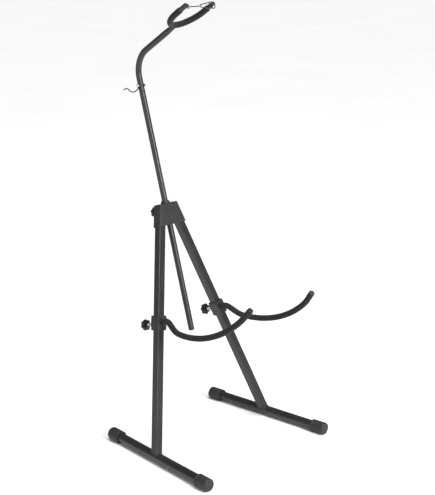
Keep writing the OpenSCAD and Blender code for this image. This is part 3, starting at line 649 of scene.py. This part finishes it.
# The latch: an eye, a stem and a pear-shaped loop with a round of near_r and one of far_r
wire = LATCH_WIRE_D / 2
near_r, far_r, near_at = 4.5, 10.5, 12.0
slope = math.degrees(math.asin((far_r - near_r) / (YOKE_HALF - near_at)))
side_len = (YOKE_HALF - near_at) * math.cos(rad(slope))
near_x, far_x = YOKE_HALF - 13 + near_at, 2 * YOKE_HALF - 13
stem = [(near_x - near_r - 4, 0, 0)]
loop = [(side_len / 2, far_r, 180 + 2 * slope), (side_len, near_r, 180 - 2 * slope),
        (side_len / 2, 0, 0)]
s = np.linspace(0, path_length(loop), 181)[:-1]
centre, _, out = along_path(loop, s)
c, sn, _ = circle(20)
loop_rings = centre[:, None] + wire * (c[:, None] * out[:, None]
                                       + sn[:, None] * np.array([0, 1.0, 0]))
loop_place = move((near_x + far_x) / 2 - (near_r + far_r) / 2 * math.sin(rad(slope)), 0,
                  (near_r + far_r) / 2 * math.cos(rad(slope))) @ turn(1, 90 - slope)
stands_for(to_mesh("latch_wire_loop", [
    skin(eye(4, wire), True),
    skin(placed(carried(stem, wire, 20, 1.5, 0.3), move(4, 0, 0) @ turn(1, 90))),
    skin(placed(loop_rings, loop_place), True)], dull_wire, at_latch), "latch", "latch_wire")

# The bow hook: an eye and a bent wire
wire = HOOK_WIRE_D / 2
stands_for(to_mesh("bow_hook_bent_wire", [
    skin(placed(eye(4, wire), turn(1, 90)), True),
    skin(placed(carried(HOOK_STEPS, wire, 24, 1.0, 1.2),
                move(0, 0, -4) @ turn(2, 90) @ turn(0, 180)))], wire_black, at_hook),
    "bow_hook", "bow_hook_wire")

# Mouldings with rolled edges
softened("housing_front_cover", "housing", housing_plastic, 0.9)
softened("housing_rear_shell", "housing", housing_plastic, 0.9)
softened("mast_bushing", "bushing", sleeve_plastic, 0.5)
for side, name in SIDE_NAMES.items():
    softened(f"{name}_clamp_sleeve", f"{name}_clamp", sleeve_plastic, 0.8)
softened("latch_stub", "mast", sleeve_plastic, 0.6)
softened("catch_stub", "mast", sleeve_plastic, 0.6)


def weld_curve(side):
    """Where the leg's rounded square meets the base's cylinder: for each point (x, y) of the
    square's outline, the lowest z of the leg at which it leaves the cylinder's round."""
    _, _, t = circle(160)
    half, n = LEG_W / 2 + 0.2, 12
    r = half / (np.abs(np.cos(t)) ** n + np.abs(np.sin(t)) ** n) ** (1 / n)
    x, y = r * np.cos(t), r * np.sin(t)
    # the leg's frame seen from the base's frame
    to_base = np.linalg.inv(turn(0, BASE_TILT) @ turn(1, side * BASE_ROLL))
    start = np.stack([x, y, 0 * x], axis=-1) @ to_base[:3, :3].T
    up = to_base[:3, 2]
    # |start + z up| in the plane across Y equals the tube's radius
    a = up[0] ** 2 + up[2] ** 2
    b = 2 * (start[:, 0] * up[0] + start[:, 2] * up[2])
    q = start[:, 0] ** 2 + start[:, 2] ** 2 - (BASE_D / 2) ** 2
    z = (-b + np.sqrt(np.maximum(b * b - 4 * a * q, 0))) / (2 * a)
    curve = start + z[:, None] * up
    away = np.stack([x, y, 0 * x], axis=-1) @ to_base[:3, :3].T
    away = away / np.linalg.norm(away, axis=1)[:, None]
    off = np.stack([curve[:, 0], 0 * x, curve[:, 2]], axis=-1)
    return curve, away + off / np.linalg.norm(off, axis=1)[:, None]


# Weld beads where the legs stand on the bases
for side, name in SIDE_NAMES.items():
    curve, away = weld_curve(side)
    stands_for(to_mesh(f"{name}_base_weld_bead", [skin(bead(curve, away, 1.9), True)],
                       tube_black, on_base(side)), f"{name}_leg")

# CAD nodes that stay as they are
KEPT = {
    tube_black: ["yoke_rod", "left_leg_tube", "right_leg_tube", "left_base_tube",
                 "right_base_tube", "left_arm_rod", "right_arm_rod"],
    zinc: ["housing_screws", "mast_lock_nut", "left_clamp_nut", "right_clamp_nut", "latch_screw",
           "bow_hook_screw", "bow_hook_washer", "left_pivot_sleeve", "right_pivot_sleeve"],
    black_oxide: ["left_pivot_bolt", "right_pivot_bolt"],
    sleeve_plastic: ["bow_hook_nut", "left_clamp_pad", "right_clamp_pad"],
    turned_brass: ["pivot_inserts"],
}
for material, nodes in KEPT.items():
    for node in nodes:
        mesh = frame["nodes"][node].data
        mesh.materials.clear()
        mesh.materials.append(material)


# ---- Floor, light and camera ----

floor_material, tree, shader, where = new_material("pale_studio_floor")
cloud = add(tree, "ShaderNodeTexNoise", {"Vector": where, "Scale": 1.2, "Detail": 2.0})
tree.links.new(ramp(tree, cloud.outputs[0], [(0.3, linear("f4f4f4")), (0.7, linear("f7f7f7"))]),
               shader.inputs["Base Color"])
shader.inputs["Roughness"].default_value = 0.85
floor_mesh = bpy.data.meshes.new("floor")
floor_mesh.from_pydata([(-90, -90, 0), (90, -90, 0), (90, 90, 0), (-90, 90, 0)], [], [(0, 1, 2, 3)])
floor_mesh.materials.append(floor_material)
floor = bpy.data.objects.new("floor", floor_mesh)
bpy.context.scene.collection.objects.link(floor)

world = bpy.data.worlds.new("studio")
world.use_nodes = True
world.node_tree.nodes["Background"].inputs["Color"].default_value = (1, 1, 1, 1)
world.node_tree.nodes["Background"].inputs["Strength"].default_value = 0.22
bpy.context.scene.world = world


def lamp(name, size, power, position, target):
    """A soft rectangular light that faces its target."""
    data = bpy.data.lights.new(name, "AREA")
    data.shape, data.size, data.size_y, data.energy = "RECTANGLE", size[0], size[1], power
    obj = bpy.data.objects.new(name, data)
    back = np.array(position, float) - np.array(target, float)
    aim(obj, position, back)
    bpy.context.scene.collection.objects.link(obj)


def aim(obj, position, back):
    """Puts obj at position with its local Z along back and its local Y as near up as may be."""
    z = back / np.linalg.norm(back)
    x = np.cross([0, 0, 1], z)
    x /= np.linalg.norm(x)
    m = np.eye(4)
    m[:3, 0], m[:3, 1], m[:3, 2], m[:3, 3] = x, np.cross(z, x), z, position
    obj.matrix_world = Matrix(m.tolist())


lamp("key_light", (1.0, 1.8), 210, (-0.2, -4.3, 2.4), (0, 0, 0.7))
lamp("left_light", (0.6, 1.8), 30, (-3.6, -0.2, 1.6), (0, 0, 0.7))
sky = bpy.data.lights.new("overhead_softbox", "SUN")
sky.energy, sky.angle = 2.75, rad(50)
overhead = bpy.data.objects.new("overhead_softbox", sky)
aim(overhead, np.array([0, 0, 5.0]), np.array([0.05, -0.25, 1.0]))
bpy.context.scene.collection.objects.link(overhead)

camera_data = bpy.data.cameras.new("camera")
camera_data.lens, camera_data.sensor_width, camera_data.sensor_fit = 82.73, 36.0, "AUTO"
camera_data.shift_x, camera_data.shift_y = 0.0094, -0.0090
camera = bpy.data.objects.new("camera", camera_data)
eye_point = np.array([-2.3992, -2.3288 + CENTRE_Y / 1000, 1.5958])
look_at = np.array([0, CENTRE_Y / 1000, 0.6481])
aim(camera, eye_point, eye_point - look_at)
bpy.context.scene.collection.objects.link(camera)
bpy.context.scene.camera = camera
bpy.context.scene.view_settings.view_transform = "Standard"
